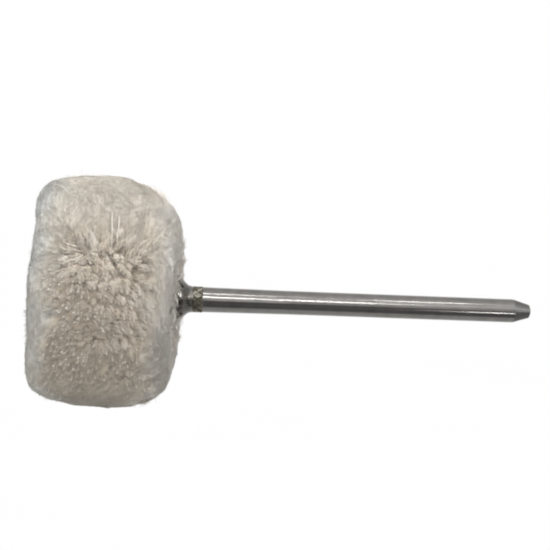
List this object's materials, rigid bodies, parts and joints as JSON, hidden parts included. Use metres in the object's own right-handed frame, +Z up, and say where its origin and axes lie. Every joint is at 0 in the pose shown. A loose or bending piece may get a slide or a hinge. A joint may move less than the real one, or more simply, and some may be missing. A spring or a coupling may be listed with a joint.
{
  "type": "mounted yarn polishing wheel",
  "caption": "Barrel-shaped polishing wheel of cut cotton yarn, clamped between toothed crowns on a thin steel shank with a knurled neck.",
  "frame": {"origin": "on the spin axis, at the head end of the shank's parallel grip, where a collet can start to hold it", "axes": "+Y along the spin axis and out of the shank's free tip, so the yarn head lies towards -Y; +Z up; the tool is round, so X and Z are alike"},
  "size_m": [0.0228, 0.0497, 0.0228],
  "materials": {
    "polished_steel": "polished, with fine turning marks",
    "crown_steel": "matte grey, pressed",
    "washer_steel": "satin",
    "wire_steel": "drawn wire",
    "cotton_yarn": "unbleached ivory cotton yarn, cut ends, fluffy sides"
  },
  "bodies": {
    "root": {"mandrel": "polished_steel", "front_washer": "washer_steel", "front_crown": "crown_steel", "rear_crown": "crown_steel", "hub_sleeve": "washer_steel", "yarn_row_1": "cotton_yarn", "yarn_row_2": "cotton_yarn", "yarn_row_3": "cotton_yarn", "yarn_row_4": "cotton_yarn", "yarn_row_5": "cotton_yarn", "yarn_row_6": "cotton_yarn", "yarn_row_7": "cotton_yarn", "yarn_row_8": "cotton_yarn", "core_wire_1": "wire_steel", "core_wire_2": "wire_steel", "core_wire_3": "wire_steel", "core_wire_4": "wire_steel", "core_wire_5": "wire_steel", "core_wire_6": "wire_steel", "core_wire_7": "wire_steel", "core_wire_8": "wire_steel"}
  },
  "joints": []
}
